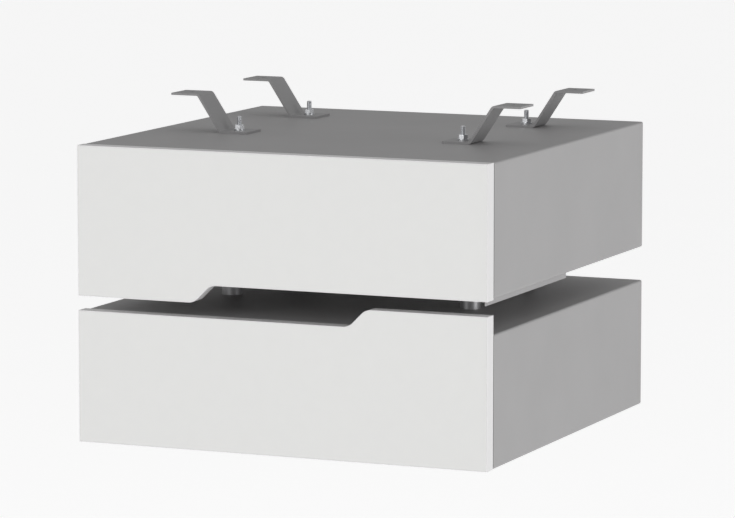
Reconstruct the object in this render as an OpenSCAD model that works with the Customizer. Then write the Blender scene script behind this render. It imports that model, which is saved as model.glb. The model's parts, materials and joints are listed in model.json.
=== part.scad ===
// Under desk drawer unit: two sheet steel housings hung one below the other on four
// brackets, each with a steel drawer tray on ball bearing slides and a stepped white front.
// Origin: centre of the four desk bolt holes, on the plane where the hangers meet the desk.
// +X is to the right as seen by the user, -Y is towards the user, +Z is up.

/* [Overall size] */
// Width of both housings and both fronts
unit_w = 500; // [440:5:600]
// Depth from the face of the fronts to the back of the housings
unit_d = 500; // [500:5:560]
// Height of one housing
housing_h = 150; // [145:1:180]
// Open gap between the two housings
housing_gap = 40; // [38:1:60]
// Thickness of the housing sheet
housing_t = 1; // [0.8:0.1:1.5]

/* [Fronts] */
// Thickness of a front board
front_t = 18; // [16:1:19]
// How far the low edge of the step reaches past the housing
front_overlap = 1.5; // [0.5:0.5:3]
// Height of the step in a front's edge
step_h = 20.5; // [16:0.5:22]
// Distance from the side of the front to where the step begins
step_inset = 138; // [100:1:160]
// Radius of the two bends in the step
step_r = 17; // [8:0.5:20]
// Clear space between the back of a front and its housing
front_clear = 1.5; // [1.4:0.1:3]

/* [Hangers] */
// Height from the top of the upper housing to the desk
hanger_h = 45; // [35:1:60]
// Spacing of the desk bolt holes from left to right
desk_holes_x = 400; // [390:1:420]
// Spacing of the desk bolt holes from front to back
desk_holes_y = 200; // [160:1:220]
// Spacing of the bolts through the upper housing from left to right
housing_bolts_x = 280; // [270:1:290]
// Thickness of the hanger strip
hanger_t = 2.5; // [2:0.5:3]
// Width of the hanger strip
hanger_w = 40; // [30:1:50]

/* [Spacers] */
// Outer diameter of a spacer between the housings
spacer_d = 24; // [20:1:30]
// Spacing of the spacers from left to right
spacers_x = 300; // [296:1:310]

/* [Drawers] */
// Thickness of the tray sheet
tray_t = 0.8; // [0.7:0.1:1]
// Height of a tray
tray_h = 114; // [100:1:114]
// Clear space below a tray
tray_clear = 14; // [13:1:16]
// Width of the rolled top edge of a tray
tray_hem = 8; // [5:1:10]

/* [Slides] */
// Length of the cabinet member of a slide
slide_l = 450; // [440:5:460]
// Balls in one row of a ball cage
balls_in_row = 6; // [3:1:10]

/* [Hidden] */

steel_grey = [0.55, 0.55, 0.56];
tray_grey = [0.62, 0.62, 0.63];
front_white = [0.93, 0.93, 0.92];
zinc = [0.78, 0.79, 0.80];
slide_zinc = [0.72, 0.74, 0.76];
rubber_black = [0.12, 0.12, 0.12];
lever_black = [0.10, 0.10, 0.11];

LEFT = -1;
RIGHT = 1;
SIDES = [LEFT, RIGHT];
cut = 0.5; // how far a cutting shape runs past the face that it cuts
round_fn = 48;
bend_n = 6; // straight pieces in a bend of a hanger

// Heights of the housings, with z = 0 at the desk
upper_top = -hanger_h;
lower_top = upper_top - housing_h - housing_gap;

// Depths, with y = 0 midway between the desk bolt holes
rear_overhang = 200;
back_y = rear_overhang;
front_face_y = back_y - unit_d;
front_back_y = front_face_y + front_t;
housing_front_y = front_back_y + front_clear;
half_w = unit_w / 2;
inside_w = half_w - housing_t;

// Housings
flange_h = 10; // inward flange along the front and rear of a housing's top and floor
flange_end = 1; // from the end of a flange to the slide beside it
bend_r = 2.2;
rib_l = 250; // stiffening angles under the front part of the upper housing
rib_h = 9;
rib_foot = 10;
rib_inset = 10;
cover_clear = 0.4;
cover_t = 1.2;
cover_screw_x = half_w - 40;
cover_screw_inset = 5.7; // below a housing's top and above its floor
cover_screw_r = 2;
cover_screw_head_r = 4;
cover_screw_head_h = 2.4;
cover_screw_l = 7;

// Cross recess and crown of the screw heads
recess_w = 4;
recess_t = 0.8;
recess_depth = 1.3;
crown_h = 0.9;

// Fasteners, metric M6
m6_r = 3;
m6_hole_r = 3.3;
m6_nut_bore_r = 3.05;
m6_flats = 10;
m6_hex_r = m6_flats / 2 / cos(30);
m6_chamfer = (m6_hex_r - m6_flats / 2) * tan(30);
m6_head_h = 4;
m6_nut_h = 5;
m6_washer_r = 6.5;
m6_washer_h = 1.6;
m6_washer_bore_r = 3.2;
hanger_bolt_l = 20;
spacer_bolt_l = housing_gap + 2 * housing_t + m6_nut_h + 3;

// Hangers
desk_hole_r = 3.25;
hanger_bend_r = 4; // at the middle of the strip's thickness
hanger_foot_in = 18; // from a hanger's bolt hole inwards to the end of its flange
hanger_foot_out = 16; // and outwards to the bend
hanger_web_run = (desk_holes_x - housing_bolts_x) / 2 - 2 * hanger_foot_out;

// Slide cross-section: distances from the housing's side, and half heights
slide_h = 45;
slide_w = 12.7; // the space between the housing and the tray
slide_front_y = front_back_y + 4;
slide_rear_y = slide_front_y + slide_l;
race_r = 3; // outer radius of the rolled edges
member_short = 10; // the moving members end this far in front of the stop buffers' backs
buffer_l = 8;
buffer_clear = 2.6; // above and below a buffer, inside the cabinet member
buffer_r = 1;
cabinet_x = [0, 12.4];
cabinet_t = 1.2;
cabinet_lip = 2.4;
middle_x = [2.4, 10.9];
middle_half_h = slide_h / 2 - 4.8;
middle_t = 1.1;
middle_lip = 2;
drawer_x = [4.8, slide_w];
drawer_half_h = slide_h / 2 - 9.5;
drawer_t = 1.1;
window_r = 6; // round windows in a middle member
window_inset = 60;
slot_offsets = [70, 240]; // adjusting slots in a drawer member, from the front of the slide
slot_l = 12;
slot_r = 2.2;
outer_cage_x = [1.5, 9];
outer_cage_z = slide_h / 2 - 3;
inner_cage_x = [3.8, 9.4];
inner_cage_z = slide_h / 2 - 7.7;
cage_t = 0.6;
cage_flange_t = 0.8;
cage_l = 180;
cage_front_y = slide_front_y + 132;
ball_r = 1.5;
ball_hole_r = 1.6;
outer_ball_x = 6.2;
inner_ball_x = 7;
ball_end = 12; // from the end of a cage to its first ball
rivet_offsets = [34, 298, 408]; // from the front of a slide
rivet_ys = [for (offset = rivet_offsets) slide_front_y + offset];
rivet_r = 2;
rivet_hole_r = 2.05;
rivet_head_r = 3.5;
rivet_head_h = 1;
rivet_tail_r = 3;
rivet_tail_h = 0.7;

// Release lever in a drawer member
lever_y = slide_front_y + 190;
lever_x = [5.8, 10.6];
lever_tab = 40;
lever_hook = 20;
lever_arm_h = 5;
lever_tab_h = 9;
lever_tab_l = 12;
lever_catch_l = 5;
lever_boss_r = 5;
lever_pin_r = 1.5;
lever_bore_r = 1.55;
lever_pin_head_r = 2.6;
lever_pin_head_x = 5;
lever_pin_play = 0.1; // between a pin's head and the lever

// Trays and fronts
tray_half_w = inside_w - slide_w;
tray_rear_y = slide_rear_y - 12;
front_screw_x = tray_half_w - 55;
front_screw_zs = [-35, 35]; // from the middle of the tray's height
front_screw_r = 2;
front_screw_l = 14;
front_screw_head_r = 3.8;
front_screw_head_h = 2.2;
front_hole_r = 2.05;
tray_screw_hole_r = 2.2;
bumper_x = half_w - 60;
bumper_inset = 5.5; // below the level of a housing's top and above its floor
bumper_r = 3.4;
bumper_t = 1.3;

function tier_top(tier) = tier == "upper" ? upper_top : lower_top;
function slide_z(tier) = tier_top(tier) - housing_h / 2;
function tray_z(tier) = tier_top(tier) - housing_h + housing_t + tray_clear;

// Bends of the step in a front's edge, from [0, 0] up to [step_run, step_h]
step_turn = 45;
step_arc_n = 8;
step_run = 2 * step_r * sin(step_turn) + step_h - 2 * step_r * (1 - cos(step_turn));
step_arc = [for (i = [0 : step_arc_n]) step_turn * i / step_arc_n];
step_points = concat(
    [for (a = step_arc) [step_r * sin(a), step_r * (1 - cos(a))]],
    [for (i = [step_arc_n : -1 : 0])
        [step_run - step_r * sin(step_arc[i]), step_h - step_r * (1 - cos(step_arc[i]))]]
);

// ---- Helpers ----

module along_x(x0, x1) translate([x0, 0, 0]) rotate([90, 0, 90]) linear_extrude(x1 - x0) children();

module along_y(y0, y1) translate([0, y1, 0]) rotate([90, 0, 0]) linear_extrude(y1 - y0) children();

module rod_x(x0, x1, r) translate([x0, 0, 0]) rotate([0, 90, 0]) cylinder(r = r, h = x1 - x0, $fn = round_fn);

module rod_y(y0, y1, r) translate([0, y1, 0]) rotate([90, 0, 0]) cylinder(r = r, h = y1 - y0, $fn = round_fn);

module rod_z(z0, z1, r) translate([0, 0, z0]) cylinder(r = r, h = z1 - z0, $fn = round_fn);

// A hexagon with both ends chamfered
module hex_z(z0, z1) translate([0, 0, z0]) intersection() {
    cylinder(r = m6_hex_r, h = z1 - z0, $fn = 6);
    rotate_extrude($fn = round_fn) polygon([
        [0, 0], [m6_flats / 2, 0], [m6_hex_r, m6_chamfer],
        [m6_hex_r, z1 - z0 - m6_chamfer], [m6_flats / 2, z1 - z0], [0, z1 - z0]
    ]);
}

// A screw along Y with a crowned head and a cross recess, its head seated at y = 0
module pan_screw(l, r, head_r, head_h) {
    crown_r = (head_r * head_r + crown_h * crown_h) / (2 * crown_h);
    rod_y(-l, 0, r);
    difference() {
        intersection() {
            rod_y(0, head_h, head_r);
            translate([0, head_h - crown_r, 0]) sphere(r = crown_r, $fn = round_fn);
        }
        for (turn = [0, 90]) rotate([0, turn, 0])
            translate([-recess_w / 2, head_h - recess_depth, -recess_t / 2])
                cube([recess_w, recess_depth + cut, recess_t]);
    }
}

// A rectangle with round corners, between two opposite corners
module round_rect(a, b, r) {
    translate([a.x + r, a.y]) square([b.x - a.x - 2 * r, b.y - a.y]);
    translate([a.x, a.y + r]) square([b.x - a.x, b.y - a.y - 2 * r]);
    for (x = [a.x + r, b.x - r], y = [a.y + r, b.y - r])
        translate([x, y]) circle(r = r, $fn = round_fn);
}

// Cross-section of a rolled channel, open on its right, with its round edges turned in as ball races
module race_channel(xs, half_h, t, lip) {
    mouth_h = half_h - t - lip;
    difference() {
        round_rect([xs[0], -half_h], [xs[1], half_h], race_r);
        round_rect([xs[0] + t, -half_h + t], [xs[1] - t, half_h - t], race_r - t);
        translate([xs[1] - t - cut, -mouth_h]) square([t + 2 * cut, 2 * mouth_h]);
    }
}

// Cross-section of a folded channel, open on its left, with plain flanges
module flat_channel(xs, half_h, t) {
    difference() {
        round_rect([xs[0] - race_r, -half_h], [xs[1], half_h], 1.5 * t);
        round_rect([xs[0] - race_r - cut, -half_h + t], [xs[1] - t, half_h - t], 0.5 * t);
        translate([xs[0] - race_r - cut, -half_h - cut]) square([race_r + cut, 2 * (half_h + cut)]);
    }
}

// Places a slide part, drawn for the left side at x = 0 on the housing's wall, on either side
module on_side(side, tier)
    mirror([side == RIGHT ? 1 : 0, 0, 0]) translate([-inside_w, 0, slide_z(tier)]) children();

module at_spacers(z) for (x = [-1, 1] * spacers_x / 2, y = [-1, 1] * desk_holes_y / 2)
    translate([x, y, z]) children();

module at_hanger_bolts(z) for (x = [-1, 1] * housing_bolts_x / 2, y = [-1, 1] * desk_holes_y / 2)
    translate([x, y, z]) children();

// ---- Housings ----

// A folded sleeve, open at both ends, with stiffening flanges along its top and floor
module housing(top) {
    along_y(housing_front_y, back_y) difference() {
        round_rect([-half_w, top - housing_h], [half_w, top], bend_r);
        round_rect([-inside_w, top - housing_h + housing_t], [inside_w, top - housing_t], bend_r - housing_t);
    }
    flange_half_w = inside_w - slide_w - flange_end;
    for (y = [housing_front_y, back_y - housing_t], z = [top - flange_h, top - housing_h])
        translate([-flange_half_w, y, z]) cube([2 * flange_half_w, housing_t, flange_h]);
}

module at_cover_screws(top)
    for (x = [-1, 1] * cover_screw_x, z = [-cover_screw_inset, cover_screw_inset - housing_h])
        translate([x, back_y, top + z]) children();

module cover_screw_holes(top) at_cover_screws(top) rod_y(-cover_screw_l, cut, cover_screw_r + 0.2);

module upper_housing() color(steel_grey) difference() {
    housing(upper_top);
    at_hanger_bolts(upper_top) rod_z(-housing_t - cut, cut, m6_hole_r);
    at_spacers(upper_top - housing_h) rod_z(-cut, housing_t + cut, m6_hole_r);
    cover_screw_holes(upper_top);
}

module lower_housing() color(steel_grey) difference() {
    housing(lower_top);
    at_spacers(lower_top) rod_z(-housing_t - cut, cut, m6_hole_r);
    cover_screw_holes(lower_top);
}

module back_cover(top) color(steel_grey) difference() {
    edge = housing_t + cover_clear;
    along_y(back_y - housing_t - cover_t, back_y - housing_t)
        translate([-half_w + edge, top - housing_h + edge])
            square([unit_w - 2 * edge, housing_h - 2 * edge]);
    cover_screw_holes(top);
}

module back_cover_screws() color(zinc) for (top = [upper_top, lower_top]) at_cover_screws(top)
    pan_screw(cover_screw_l, cover_screw_r, cover_screw_head_r, cover_screw_head_h);

// Two angles welded under the floor of the upper housing, one along each side
module floor_ribs() color(steel_grey) for (side = SIDES)
    mirror([side == LEFT ? 1 : 0, 0, 0]) translate([half_w - rib_inset, 0, upper_top - housing_h])
        along_y(housing_front_y, housing_front_y + rib_l) {
            translate([-rib_foot, -housing_t]) square([rib_foot, housing_t]);
            translate([-housing_t, -rib_h]) square([housing_t, rib_h]);
        }

// ---- Hangers and their fasteners ----

function arc(centre, r, from, to) = [for (i = [0 : bend_n])
    let (a = from + (to - from) * i / bend_n) centre + r * [sin(a), -cos(a)]];

// Profile of a strip folded to a Z with a slanted web, from its foot's bolt hole outwards
module hanger_profile() {
    half_t = hanger_t / 2;
    web_angle = atan2(hanger_h - hanger_t, hanger_web_run);
    turn = hanger_bend_r * tan(web_angle / 2);
    low_bend = [hanger_foot_out - turn, half_t - hanger_h + hanger_bend_r];
    high_bend = [hanger_foot_out + hanger_web_run + turn, -half_t - hanger_bend_r];
    end = 2 * hanger_foot_out + hanger_web_run + hanger_foot_in;
    polygon(concat(
        [[-hanger_foot_in, -hanger_h]],
        arc(low_bend, hanger_bend_r + half_t, 0, web_angle),
        arc(high_bend, -(hanger_bend_r - half_t), web_angle, 0),
        [[end, -hanger_t], [end, 0]],
        arc(high_bend, -(hanger_bend_r + half_t), 0, web_angle),
        arc(low_bend, hanger_bend_r - half_t, web_angle, 0),
        [[-hanger_foot_in, hanger_t - hanger_h]]
    ));
}

module hanger(side, y) color(steel_grey)
    mirror([side == LEFT ? 1 : 0, 0, 0]) translate([housing_bolts_x / 2, y, 0]) difference() {
        along_y(-hanger_w / 2, hanger_w / 2) hanger_profile();
        rod_z(-hanger_h - cut, hanger_t - hanger_h + cut, m6_hole_r);
        translate([(desk_holes_x - housing_bolts_x) / 2, 0, 0]) rod_z(-hanger_t - cut, cut, desk_hole_r);
    }

// Bolts with their heads inside the upper housing, standing up through the hangers
module hanger_bolts() color(zinc) at_hanger_bolts(upper_top - housing_t) {
    hex_z(-m6_head_h, 0);
    rod_z(0, hanger_bolt_l, m6_r);
}

module hanger_washers() color(zinc) at_hanger_bolts(upper_top + hanger_t) difference() {
    rod_z(0, m6_washer_h, m6_washer_r);
    rod_z(-cut, m6_washer_h + cut, m6_washer_bore_r);
}

module hex_nut() difference() {
    hex_z(0, m6_nut_h);
    rod_z(-cut, m6_nut_h + cut, m6_nut_bore_r);
}

// The nuts on the hanger bolts, and those on the spacer bolts inside the lower housing
module hex_nuts() color(zinc) {
    at_hanger_bolts(upper_top + hanger_t + m6_washer_h) hex_nut();
    at_spacers(lower_top - housing_t - m6_nut_h) hex_nut();
}

// ---- Spacers that carry the lower housing ----

module housing_spacers() color(zinc) at_spacers(lower_top) difference() {
    rod_z(0, housing_gap, spacer_d / 2);
    rod_z(-cut, housing_gap + cut, m6_hole_r);
}

module spacer_bolts() color(zinc) at_spacers(upper_top - housing_h + housing_t) {
    hex_z(0, m6_head_h);
    rod_z(-spacer_bolt_l, 0, m6_r);
}

// ---- Ball bearing slides ----

module cabinet_member(side, tier) color(slide_zinc) on_side(side, tier)
    along_y(slide_front_y, slide_rear_y) race_channel(cabinet_x, slide_h / 2, cabinet_t, cabinet_lip);

module slide_stop_buffers() color(rubber_black)
    for (tier = ["upper", "lower"], side = SIDES) on_side(side, tier)
        along_y(slide_rear_y - buffer_l, slide_rear_y)
            round_rect([cabinet_t, -slide_h / 2 + cabinet_t + buffer_clear],
                       [cabinet_x[1] - buffer_r, slide_h / 2 - cabinet_t - buffer_clear], buffer_r);

module middle_member(side, tier) color(slide_zinc) on_side(side, tier) difference() {
    along_y(slide_front_y, slide_rear_y - member_short)
        race_channel(middle_x, middle_half_h, middle_t, middle_lip);
    for (y = [slide_front_y + window_inset, slide_rear_y - member_short - window_inset])
        translate([0, y, 0]) rod_x(middle_x[0] - cut, middle_x[0] + middle_t + cut, window_r);
}

module drawer_member(side, tier) color(slide_zinc) on_side(side, tier) difference() {
    along_y(slide_front_y, slide_rear_y - member_short)
        flat_channel(drawer_x, drawer_half_h, drawer_t);
    for (y = rivet_ys) translate([0, y, 0]) rod_x(slide_w - drawer_t - cut, slide_w + cut, rivet_hole_r);
    translate([0, lever_y, 0]) rod_x(slide_w - drawer_t - cut, slide_w + cut, lever_bore_r);
    for (offset = slot_offsets) translate([0, slide_front_y + offset, 0])
        along_x(slide_w - drawer_t - cut, slide_w + cut) {
            square([slot_l - 2 * slot_r, 2 * slot_r], center = true);
            for (y = [-1, 1] * (slot_l / 2 - slot_r)) translate([y, 0]) circle(r = slot_r, $fn = round_fn);
        }
}

function ball_ys() = [for (i = [0 : balls_in_row - 1])
    cage_front_y + ball_end + i * (cage_l - 2 * ball_end) / (balls_in_row - 1)];

// A thin strip folded to a U, with a round pocket for each ball
module ball_cage(side, tier, xs, z, ball_x) color(zinc) on_side(side, tier) difference() {
    along_y(cage_front_y, cage_front_y + cage_l) {
        translate([xs[0], -z - cage_flange_t / 2]) square([cage_t, 2 * z + cage_flange_t]);
        for (flange_z = [-z, z]) translate([xs[0], flange_z - cage_flange_t / 2])
            square([xs[1] - xs[0], cage_flange_t]);
    }
    for (y = ball_ys(), flange_z = [-z, z])
        translate([ball_x, y, flange_z]) rod_z(-cage_flange_t, cage_flange_t, ball_hole_r);
}

module outer_cage(side, tier) ball_cage(side, tier, outer_cage_x, outer_cage_z, outer_ball_x);

module inner_cage(side, tier) ball_cage(side, tier, inner_cage_x, inner_cage_z, inner_ball_x);

module balls(tier, x, z) color(zinc) for (side = SIDES, y = ball_ys(), row_z = [-z, z])
    on_side(side, tier) translate([x, y, row_z]) sphere(r = ball_r, $fn = 24);

module slide_rivets(tier) color(zinc) for (side = SIDES, y = rivet_ys) on_side(side, tier)
    translate([0, y, 0]) {
        rod_x(slide_w - drawer_t, slide_w + tray_t, rivet_r);
        rod_x(slide_w + tray_t, slide_w + tray_t + rivet_head_h, rivet_head_r);
        rod_x(slide_w - drawer_t - rivet_tail_h, slide_w - drawer_t, rivet_tail_r);
    }

module lever_pins(tier) color(zinc) for (side = SIDES) on_side(side, tier) translate([0, lever_y, 0]) {
    rod_x(lever_pin_head_x, slide_w, lever_pin_r);
    rod_x(lever_pin_head_x, lever_x[0] - lever_pin_play, lever_pin_head_r);
}

// A two-armed lever on its pin: a finger tab in front, a catch behind
module release_lever(side, tier) color(lever_black) on_side(side, tier) translate([0, lever_y, 0])
    difference() {
        union() {
            along_x(lever_x[0], lever_x[1]) {
                translate([-lever_tab, -lever_arm_h / 2]) square([lever_tab + lever_hook, lever_arm_h]);
                round_rect([-lever_tab, -lever_tab_h / 2], [-lever_tab + lever_tab_l, lever_tab_h / 2], 1.5);
                round_rect([lever_hook - lever_catch_l, -lever_tab_h / 2], [lever_hook, lever_arm_h / 2], 1);
            }
            rod_x(lever_x[0], lever_x[1], lever_boss_r);
        }
        rod_x(lever_x[0] - cut, lever_x[1] + cut, lever_bore_r);
    }

// ---- Drawers ----

module at_front_screws(tier) for (x = [-1, 1] * front_screw_x, z = front_screw_zs)
    translate([x, 0, tray_z(tier) + tray_h / 2 + z]) children();

// Floor and sides in one folded sheet, with the top edges of the sides turned in
module drawer_tray(tier) color(tray_grey) difference() {
    z0 = tray_z(tier);
    z1 = z0 + tray_h;
    along_y(front_back_y, tray_rear_y) difference() {
        round_rect([-tray_half_w, z0], [tray_half_w, z1], bend_r);
        translate([-tray_half_w + tray_t, z0 + tray_t])
            round_rect([0, 0], [2 * (tray_half_w - tray_t), tray_h - 2 * tray_t], bend_r - tray_t);
        translate([-tray_half_w + tray_hem, z1 - tray_t - cut])
            square([2 * (tray_half_w - tray_hem), tray_t + 2 * cut]);
    }
    for (side = SIDES, y = rivet_ys) on_side(side, tier) translate([0, y, 0])
        rod_x(slide_w - cut, slide_w + tray_t + cut, rivet_hole_r);
}

// A plate welded across the tray, between its floor, sides and turned edges
module tray_end(tier, y) along_y(y, y + tray_t)
    translate([-tray_half_w + tray_t, tray_z(tier) + tray_t])
        intersection() {
            round_rect([0, 0], [2 * (tray_half_w - tray_t), tray_h], bend_r - tray_t);
            square([2 * (tray_half_w - tray_t), tray_h - 2 * tray_t]);
        }

module drawer_back(tier) color(tray_grey) tray_end(tier, tray_rear_y - tray_t);

module inner_front(tier) color(tray_grey) difference() {
    tray_end(tier, front_back_y);
    at_front_screws(tier) rod_y(front_back_y - cut, front_back_y + tray_t + cut, tray_screw_hole_r);
}

// Outline of a front as the upper drawer has it: the deep part of its edge hangs on the left
module front_outline() {
    low = -housing_h - front_overlap;
    edge = [for (p = step_points) [-half_w + step_inset + p.x, low - step_h + p.y]];
    polygon(concat([[-half_w, 0], [-half_w, low - step_h]], edge, [[half_w, low], [half_w, 0]]));
}

module front_panel_blank(tier) {
    if (tier == "upper") translate([0, 0, upper_top]) along_y(front_face_y, front_back_y) front_outline();
    if (tier == "lower") translate([0, 0, lower_top - housing_h]) rotate([0, 180, 0])
        along_y(front_face_y, front_back_y) front_outline();
}

module front_panel(tier) color(front_white) difference() {
    front_panel_blank(tier);
    at_front_screws(tier) rod_y(front_back_y - front_screw_l, front_back_y + cut, front_hole_r);
}

module front_screws(tier) color(zinc) at_front_screws(tier) translate([0, front_back_y + tray_t, 0])
    pan_screw(front_screw_l, front_screw_r, front_screw_head_r, front_screw_head_h);

// Soft buttons on the back of a front, which meet the housing's front flanges
module front_bumpers(tier) color(rubber_black)
    for (x = [-1, 1] * bumper_x, z = [-bumper_inset, bumper_inset - housing_h])
        translate([x, 0, tier_top(tier) + z]) rod_y(front_back_y, front_back_y + bumper_t, bumper_r);

// ---- Nodes ----

upper_housing();
lower_housing();
back_cover(upper_top);  // upper_back_cover
back_cover(lower_top);  // lower_back_cover
back_cover_screws();
hanger(LEFT, -desk_holes_y / 2);  // front_left_hanger
hanger(RIGHT, -desk_holes_y / 2);  // front_right_hanger
hanger(LEFT, desk_holes_y / 2);  // rear_left_hanger
hanger(RIGHT, desk_holes_y / 2);  // rear_right_hanger
hanger_bolts();
hanger_washers();
hex_nuts();
housing_spacers();
spacer_bolts();
floor_ribs();
cabinet_member(LEFT, "upper");  // upper_left_cabinet_member
cabinet_member(RIGHT, "upper");  // upper_right_cabinet_member
cabinet_member(LEFT, "lower");  // lower_left_cabinet_member
cabinet_member(RIGHT, "lower");  // lower_right_cabinet_member
slide_stop_buffers();
middle_member(LEFT, "upper");  // upper_left_middle_member
middle_member(RIGHT, "upper");  // upper_right_middle_member
middle_member(LEFT, "lower");  // lower_left_middle_member
middle_member(RIGHT, "lower");  // lower_right_middle_member
outer_cage(LEFT, "upper");  // upper_left_outer_cage
outer_cage(RIGHT, "upper");  // upper_right_outer_cage
outer_cage(LEFT, "lower");  // lower_left_outer_cage
outer_cage(RIGHT, "lower");  // lower_right_outer_cage
inner_cage(LEFT, "upper");  // upper_left_inner_cage
inner_cage(RIGHT, "upper");  // upper_right_inner_cage
inner_cage(LEFT, "lower");  // lower_left_inner_cage
inner_cage(RIGHT, "lower");  // lower_right_inner_cage
balls("upper", outer_ball_x, outer_cage_z);  // upper_outer_balls
balls("lower", outer_ball_x, outer_cage_z);  // lower_outer_balls
balls("upper", inner_ball_x, inner_cage_z);  // upper_inner_balls
balls("lower", inner_ball_x, inner_cage_z);  // lower_inner_balls
drawer_member(LEFT, "upper");  // upper_left_drawer_member
drawer_member(RIGHT, "upper");  // upper_right_drawer_member
drawer_member(LEFT, "lower");  // lower_left_drawer_member
drawer_member(RIGHT, "lower");  // lower_right_drawer_member
slide_rivets("upper");  // upper_slide_rivets
slide_rivets("lower");  // lower_slide_rivets
lever_pins("upper");  // upper_lever_pins
lever_pins("lower");  // lower_lever_pins
release_lever(LEFT, "upper");  // upper_left_release_lever
release_lever(RIGHT, "upper");  // upper_right_release_lever
release_lever(LEFT, "lower");  // lower_left_release_lever
release_lever(RIGHT, "lower");  // lower_right_release_lever
drawer_tray("upper");  // upper_drawer_tray
drawer_tray("lower");  // lower_drawer_tray
drawer_back("upper");  // upper_drawer_back
drawer_back("lower");  // lower_drawer_back
inner_front("upper");  // upper_inner_front
inner_front("lower");  // lower_inner_front
front_panel("upper");  // upper_front_panel
front_panel("lower");  // lower_front_panel
front_screws("upper");  // upper_front_screws
front_screws("lower");  // lower_front_screws
front_bumpers("upper");  // upper_front_bumpers
front_bumpers("lower");  // lower_front_bumpers
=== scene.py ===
"""Looks of the under desk drawer unit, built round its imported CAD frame, in metres."""

import json
import math

import bmesh
import bpy
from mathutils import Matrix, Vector


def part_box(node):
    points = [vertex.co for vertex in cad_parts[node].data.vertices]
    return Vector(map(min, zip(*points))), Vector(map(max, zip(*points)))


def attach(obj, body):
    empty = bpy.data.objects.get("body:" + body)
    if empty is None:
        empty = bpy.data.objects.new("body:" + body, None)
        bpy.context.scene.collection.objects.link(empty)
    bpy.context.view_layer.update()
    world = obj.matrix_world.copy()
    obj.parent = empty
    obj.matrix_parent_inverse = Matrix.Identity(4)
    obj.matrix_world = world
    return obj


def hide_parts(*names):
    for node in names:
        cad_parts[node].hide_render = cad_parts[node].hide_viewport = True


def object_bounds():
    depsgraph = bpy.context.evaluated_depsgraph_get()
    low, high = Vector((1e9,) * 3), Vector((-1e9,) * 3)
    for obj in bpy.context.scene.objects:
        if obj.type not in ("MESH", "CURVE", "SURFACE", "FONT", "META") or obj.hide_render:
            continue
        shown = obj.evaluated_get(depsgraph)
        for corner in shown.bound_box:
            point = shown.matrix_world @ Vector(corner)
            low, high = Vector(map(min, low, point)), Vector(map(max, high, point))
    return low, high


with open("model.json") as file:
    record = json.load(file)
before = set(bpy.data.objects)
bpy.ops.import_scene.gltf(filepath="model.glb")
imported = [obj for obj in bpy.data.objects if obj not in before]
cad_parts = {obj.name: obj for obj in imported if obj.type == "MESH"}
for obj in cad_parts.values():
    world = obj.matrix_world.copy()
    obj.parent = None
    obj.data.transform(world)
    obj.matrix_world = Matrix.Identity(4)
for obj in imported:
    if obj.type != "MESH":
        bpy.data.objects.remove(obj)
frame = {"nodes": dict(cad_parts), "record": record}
cad_low, cad_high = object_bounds()

TIERS = ("upper", "lower")
MM = 0.001


# ---- Materials ----

NOISE_SPAN = (0.3, 0.7)  # the part of its range that noise mostly keeps to


class Nodes:
    """A new node material, with short calls for its nodes and links."""

    def __init__(self, name):
        self.material = bpy.data.materials.new(name)
        self.material.use_nodes = True
        self.tree = self.material.node_tree
        self.tree.nodes.clear()
        self.shader = self.add("ShaderNodeBsdfPrincipled")
        output = self.add("ShaderNodeOutputMaterial")
        self.link(self.shader, "BSDF", output, "Surface")
        self.place = self.add("ShaderNodeTexCoord")

    def add(self, kind, **settings):
        node = self.tree.nodes.new(kind)
        for key, value in settings.items():
            setattr(node, key, value)
        return node

    def link(self, source, output, target, socket):
        self.tree.links.new(source.outputs[output], target.inputs[socket])

    def set(self, socket, value):
        """A plain value on one of the shader's own sockets."""
        self.shader.inputs[socket].default_value = value

    def noise(self, per_metre, detail=2.0, roughness=0.5, stretch=(1, 1, 1)):
        """Noise with that many features per metre; a larger stretch makes it finer along an axis."""
        mapping = self.add("ShaderNodeMapping")
        mapping.inputs["Scale"].default_value = stretch
        self.link(self.place, "Object", mapping, "Vector")
        node = self.add("ShaderNodeTexNoise")
        node.inputs["Scale"].default_value = per_metre
        node.inputs["Detail"].default_value = detail
        node.inputs["Roughness"].default_value = roughness
        self.link(mapping, "Vector", node, "Vector")
        return node

    def vary_colour(self, noise, dark, light):
        ramp = self.add("ShaderNodeValToRGB")
        stops = ramp.color_ramp.elements
        for stop, position, colour in zip(stops, NOISE_SPAN, (dark, light)):
            stop.position = position
            stop.color = (*colour, 1)
        self.link(noise, "Fac", ramp, "Fac")
        self.link(ramp, "Color", self.shader, "Base Color")

    def vary_roughness(self, noise, low, high):
        spread = self.add("ShaderNodeMapRange")
        spread.inputs["To Min"].default_value = low
        spread.inputs["To Max"].default_value = high
        self.link(noise, "Fac", spread, "Value")
        self.link(spread, "Result", self.shader, "Roughness")

    def bump(self, noise, height, strength=1.0):
        """Relief of that height in metres."""
        node = self.add("ShaderNodeBump")
        node.inputs["Strength"].default_value = strength
        node.inputs["Distance"].default_value = height
        self.link(noise, "Fac", node, "Height")
        self.link(node, "Normal", self.shader, "Normal")


def shades(colour, spread):
    """A darker and a lighter tone of one colour; spread is the part of it that each is off by."""
    return [tuple(channel * (1 + sign * spread) for channel in colour) for sign in (-1, 1)]


def powder_coat(name, colour, roughness=0.5):
    """Baked powder paint: a slight orange peel under a satin film."""
    m = Nodes(name)
    m.vary_colour(m.noise(14, detail=3), *shades(colour, 0.02))
    m.vary_roughness(m.noise(420, detail=2), roughness - 0.05, roughness + 0.05)
    m.bump(m.noise(650, detail=1.5), 0.00012, 0.35)
    return m.material


def melamine(name, colour):
    """White faced board: a dense, very fine pearl grain."""
    m = Nodes(name)
    m.vary_colour(m.noise(60, detail=4), *shades(colour, 0.006))
    m.vary_roughness(m.noise(900, detail=2), 0.42, 0.52)
    m.bump(m.noise(1500, detail=2), 0.00005, 0.4)
    return m.material


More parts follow.
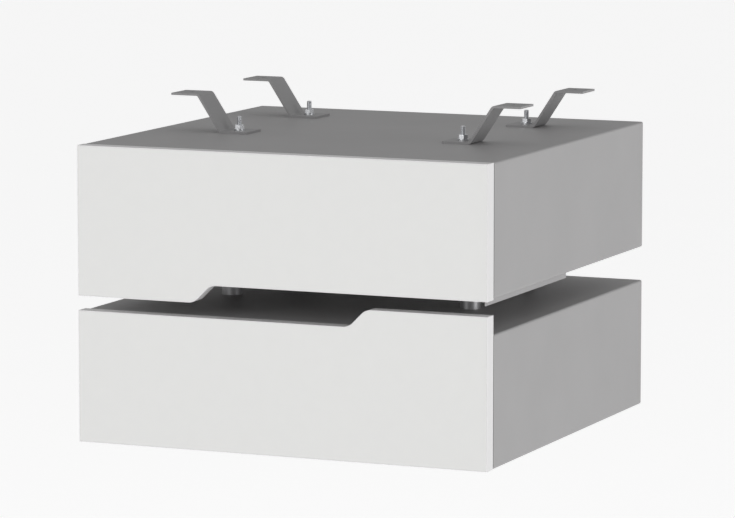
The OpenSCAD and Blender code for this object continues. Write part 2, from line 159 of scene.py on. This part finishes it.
def plated_steel(name, colour, roughness, grain=(1, 1, 1), per_metre=700):
    """Zinc plated steel; grain stretches its scratches along the way it was rolled or turned."""
    m = Nodes(name)
    m.vary_colour(m.noise(90, detail=3), *shades(colour, 0.06))
    streaks = m.noise(per_metre, detail=3, stretch=grain)
    m.vary_roughness(streaks, roughness - 0.08, roughness + 0.1)
    m.bump(streaks, 0.00002, 0.3)
    m.set("Metallic", 1.0)
    return m.material


def edge_band_plastic(name, colour):
    """Smooth plastic strip, slightly glossier than the faces that it runs round."""
    m = Nodes(name)
    m.vary_colour(m.noise(25, detail=2), *shades(colour, 0.004))
    m.vary_roughness(m.noise(600, detail=2), 0.32, 0.4)
    m.bump(m.noise(400, detail=1), 0.00002, 0.3)
    return m.material


def rubber(name, colour):
    m = Nodes(name)
    m.vary_colour(m.noise(200, detail=3), *shades(colour, 0.15))
    m.vary_roughness(m.noise(500), 0.7, 0.85)
    m.bump(m.noise(1200), 0.00005, 0.5)
    return m.material


def moulded_plastic(name, colour):
    m = Nodes(name)
    m.vary_colour(m.noise(150, detail=2), *shades(colour, 0.1))
    m.vary_roughness(m.noise(800), 0.42, 0.55)
    m.bump(m.noise(1600), 0.00004, 0.5)
    return m.material


ROLLED = (1, 0.03, 1)  # streaks run along the slides
MATERIALS = {
    "housing_steel": powder_coat("housing_powder_coat", (0.35, 0.345, 0.347), 0.5),
    "hanger_steel": powder_coat("hanger_powder_coat", (0.30, 0.297, 0.30), 0.5),
    "front_board": melamine("white_melamine", (0.695, 0.695, 0.685)),
    "tray_steel": powder_coat("tray_powder_coat", (0.44, 0.44, 0.445), 0.45),
    "fastener_zinc": plated_steel("bright_zinc", (0.72, 0.73, 0.75), 0.28),
    "slide_steel": plated_steel("rolled_zinc_steel", (0.62, 0.64, 0.67), 0.3, ROLLED),
    "cage_steel": plated_steel("pressed_strip", (0.55, 0.54, 0.5), 0.34, ROLLED),
    "ball_steel": plated_steel("polished_ball_steel", (0.78, 0.78, 0.8), 0.14),
    "spacer_metal": plated_steel("turned_metal", (0.50, 0.50, 0.51), 0.42, (1, 1, 8)),
    "buffer_rubber": rubber("black_rubber", (0.03, 0.03, 0.03)),
    "lever_plastic": moulded_plastic("black_plastic", (0.025, 0.025, 0.027)),
}
# The band is a real plastic strip, but its tone is set lighter than the board faces as painted
# light, so its edges look lit from the side.
EDGE_BAND = edge_band_plastic("white_edge_band", (0.74, 0.734, 0.736))


# ---- Finish and small rounded edges ----

EDGE = {  # width of the rounded edges in millimetres, by slot
    "housing_steel": 0.3, "hanger_steel": 0.4, "front_board": 0.25, "tray_steel": 0.25,
    "fastener_zinc": 0.2, "slide_steel": 0.2, "spacer_metal": 0.5, "buffer_rubber": 0.5,
    "lever_plastic": 0.35,
}
EDGE_SEGMENTS = 3
SHARP_ANGLE = math.radians(35)


def round_edges(piece, width):
    """Rounds the sharp edges of a piece; width is in metres."""
    bevel = piece.modifiers.new("rounded edges", "BEVEL")
    bevel.width = width
    bevel.segments = EDGE_SEGMENTS
    bevel.limit_method = "ANGLE"
    bevel.angle_limit = SHARP_ANGLE
    bevel.harden_normals = True


def dress(piece, material, edge=None):
    """Gives a piece its material, smooth shading and, if it has an edge width, rounded edges."""
    piece.data.materials.clear()
    piece.data.materials.append(material)
    for face in piece.data.polygons:
        face.use_smooth = True
    if edge:
        round_edges(piece, edge)
    normals = piece.modifiers.new("face weighted normals", "WEIGHTED_NORMAL")
    normals.keep_sharp = True


def new_piece(name, bm, slot, body, stands_for, material=None):
    """Turns a bmesh into a finished piece that rides on a body and stands for a CAD node."""
    bmesh.ops.recalc_face_normals(bm, faces=bm.faces)
    mesh = bpy.data.meshes.new(name)
    bm.to_mesh(mesh)
    bm.free()
    piece = bpy.data.objects.new(name, mesh)
    bpy.context.collection.objects.link(piece)
    dress(piece, material or MATERIALS[slot], EDGE[slot] * MM)
    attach(piece, body)
    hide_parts(stands_for)
    return piece


for part in frame["record"]["subparts"]:
    slot_name = part["material_slot"]
    dress(frame["nodes"][part["node"]], MATERIALS[slot_name], EDGE.get(slot_name, 0) * MM)


# ---- Front boards: a faced core with an edge band all round ----

BAND = 1.0 * MM  # thickness of the edge band
SAME_POINT = 1e-6
SAME_PLANE = 1e-5


def face_outline(node, y):
    """The outline of a node's flat face in the plane at that y, in order, as (x, z) points."""
    bm = bmesh.new()
    bm.from_mesh(frame["nodes"][node].data)
    bmesh.ops.remove_doubles(bm, verts=bm.verts, dist=SAME_POINT)
    faces = {f for f in bm.faces if all(abs(v.co.y - y) < SAME_PLANE for v in f.verts)}
    rim = [e for e in bm.edges if sum(f in faces for f in e.link_faces) == 1]
    start = rim[0].verts[0]
    here, last, points = start, None, []
    while here != start or last is None:
        points.append(Vector((here.co.x, here.co.z)))
        step = next(e for e in here.link_edges if e in rim and e is not last)
        here, last = step.other_vert(here), step
    bm.free()
    return points


def turning_left(points):
    """The outline in the order that keeps its inside on the left."""
    area = sum(a.cross(b) for a, b in zip(points, points[1:] + points[:1]))
    return points if area > 0 else points[::-1]


def inset(points, width):
    """The outline moved inwards by that width."""
    moved = []
    for before, here, after in zip(points[-1:] + points[:-1], points, points[1:] + points[:1]):
        ways = [(here - before).normalized(), (after - here).normalized()]
        inward = [Vector((-way.y, way.x)) for way in ways]
        mitre = 1 + inward[0].dot(inward[1])
        moved.append(here + (inward[0] + inward[1]) * (width / mitre))
    return moved


def ring(bm, points, y):
    """New vertices for an outline in the plane at that y."""
    return [bm.verts.new((point.x, y, point.y)) for point in points]


def join_rings(bm, one, other):
    """A closed strip of faces between two rings of equal length."""
    for i in range(len(one)):
        bm.faces.new((one[i - 1], one[i], other[i], other[i - 1]))


def front_board(tier):
    """The core and the edge band that stand for one front panel of the CAD."""
    node = f"{tier}_front_panel"
    face_y, back_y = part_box(node)[0][1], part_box(node)[1][1]
    outer = turning_left(face_outline(node, face_y))
    inner = inset(outer, BAND)

    core = bmesh.new()
    faces = [ring(core, inner, y) for y in (face_y, back_y)]
    join_rings(core, *faces)
    for loop in faces:
        core.faces.new(loop)
    new_piece(f"{tier}_front_core", core, "front_board", f"{tier}_drawer", node)

    band = bmesh.new()
    loops = [ring(band, points, y) for points, y in
             ((outer, face_y), (inner, face_y), (inner, back_y), (outer, back_y))]
    for i, loop in enumerate(loops):
        join_rings(band, loops[i - 1], loop)
    new_piece(f"{tier}_edge_band", band, "front_board", f"{tier}_drawer", node, EDGE_BAND)


for tier in TIERS:
    front_board(tier)


# ---- Hanger bolts: hexagon heads and M6 threads ----

WASHER_R = 6.5 * MM
M6_R = 3.0 * MM
M6_FLATS = 10.0 * MM
M6_HEAD = 4.0 * MM
HEAD_CHAMFER_R = M6_FLATS / 2 * 0.93  # radius of the corners on the head's free face
HEAD_CHAMFER_H = 0.45 * MM
PITCH = 1.0 * MM
THREAD_DEPTH = 0.6 * MM
ROOT_FLAT = 0.12  # flat bottom of the thread, as a part of half a turn
FLANK = 0.7  # rise from its bottom to its crest, as a part of half a turn
TIP_CUT = 0.4 * PITCH  # how much thinner than the thread's root the rod's end is
THREAD_SIDES = 24
STEPS_PER_TURN = 8  # rings along one pitch


def thread_radius(turn, to_end):
    """Radius of an M6 thread at a part of a turn, chamfered towards the rod's end."""
    ridge = abs(2 * (turn % 1) - 1)
    flank = min(max((ridge - ROOT_FLAT) / FLANK, 0), 1)
    chamfer = max(M6_R - THREAD_DEPTH - TIP_CUT + to_end, 0)
    return min(M6_R - THREAD_DEPTH * (1 - flank), chamfer)


def round_point(bm, x, y, z, r, part):
    """A new vertex on the circle round (x, y), at that part of its turn."""
    return bm.verts.new((x + r * math.cos(math.tau * part), y + r * math.sin(math.tau * part), z))


def capped_stack(bm, rings):
    """Joins each ring to the next and closes the first and the last."""
    for one, other in zip(rings, rings[1:]):
        join_rings(bm, one, other)
    bm.faces.new(rings[0])
    bm.faces.new(rings[-1])


def threaded_rod(bm, x, y, low, high):
    """A rod with a helical thread; its upper end is chamfered."""
    rings = []
    count = round((high - low) / PITCH * STEPS_PER_TURN)
    for step in range(count + 1):
        z = low + (high - low) * step / count
        loop = []
        for side in range(THREAD_SIDES):
            part = side / THREAD_SIDES
            r = thread_radius((z - low) / PITCH - part, high - z)
            loop.append(round_point(bm, x, y, z, r, part))
        rings.append(loop)
    capped_stack(bm, rings)


def hexagon_head(bm, x, y, low, high):
    """A hexagon with its free lower face chamfered."""
    corner_r = M6_FLATS / 2 / math.cos(math.radians(30))
    levels = ((low, HEAD_CHAMFER_R), (low + HEAD_CHAMFER_H, corner_r), (high, corner_r))
    capped_stack(bm, [[round_point(bm, x, y, z, r, i / 6) for i in range(6)] for z, r in levels])


def hanger_bolt(name, x, y):
    """A bolt that stands head down at (x, y); its thread is too fine for rounded edges."""
    low, high = (corner[2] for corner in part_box("hanger_bolts"))
    bm = bmesh.new()
    hexagon_head(bm, x, y, low, low + M6_HEAD)
    threaded_rod(bm, x, y, low + M6_HEAD, high)
    piece = new_piece(name, bm, "fastener_zinc", "carcass", "hanger_bolts")
    piece.modifiers.remove(piece.modifiers["rounded edges"])


washers_low, washers_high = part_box("hanger_washers")
for row, y in (("front", washers_low[1] + WASHER_R), ("rear", washers_high[1] - WASHER_R)):
    for side, x in (("left", washers_low[0] + WASHER_R), ("right", washers_high[0] - WASHER_R)):
        hanger_bolt(f"{row}_{side}_hanger_bolt", x, y)


# ---- Stage, light and camera ----

DESK_HEIGHT = 0.75  # the scene's zero height is the underside of the desk
front_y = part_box("upper_front_panel")[0][1]
upper_top_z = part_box("upper_housing")[1][2]
half_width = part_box("upper_housing")[1][0]


def floor():
    """A pale shooting table, lit softly from below, at the height of the feet of a desk."""
    width = 60
    behind = 10
    bpy.ops.mesh.primitive_plane_add(size=width, location=(0, behind, -DESK_HEIGHT))
    plane = bpy.context.object
    plane.name = "floor"
    m = Nodes("pale_floor")
    m.vary_colour(m.noise(3, detail=2), *shades((0.9, 0.9, 0.9), 0.003))
    m.set("Roughness", 0.7)
    m.set("Emission Color", (1, 1, 1, 1))
    m.set("Emission Strength", 0.5)
    plane.data.materials.append(m.material)


def area_light(name, place, target, size, power):
    """A softbox that faces its target; size is its width and height, power is in watts."""
    light = bpy.data.lights.new(name, "AREA")
    light.shape = "RECTANGLE"
    light.size, light.size_y = size
    light.energy = power
    lamp = bpy.data.objects.new(name, light)
    lamp.location = place
    lamp.rotation_euler = (Vector(target) - Vector(place)).to_track_quat("-Z", "Y").to_euler()
    bpy.context.collection.objects.link(lamp)


def studio():
    """An even dim sky, a softbox in front and one on the right."""
    world = bpy.data.worlds.new("soft_white")
    world.use_nodes = True
    background = world.node_tree.nodes["Background"]
    background.inputs["Color"].default_value = (1, 1, 1, 1)
    background.inputs["Strength"].default_value = 0.46
    bpy.context.scene.world = world
    centre = (cad_low + cad_high) / 2
    area_light("front_softbox", (-0.6, -3.2, 0.1), centre, (2.4, 1.8), 28)
    area_light("right_softbox", (3.2, -0.5, 0.1), centre, (1.6, 2.0), 26)


def camera():
    """Where the desk's viewer stands: far to the right, a little above the unit."""
    from_right_side = 1.746
    from_front = 4.409
    above_top = 0.526
    cam = bpy.data.cameras.new("camera")
    cam.sensor_width = 36
    cam.lens = 215
    cam.clip_start = 0.1
    cam.clip_end = 200
    eye = Vector((half_width + from_right_side, front_y - from_front, upper_top_z + above_top))
    rig = bpy.data.objects.new("camera", cam)
    rig.location = eye
    aim = (cad_low + cad_high) / 2
    rig.rotation_euler = (aim - eye).to_track_quat("-Z", "Y").to_euler()
    bpy.context.collection.objects.link(rig)
    bpy.context.scene.camera = rig


floor()
studio()
camera()
bpy.context.scene.view_settings.view_transform = "Standard"
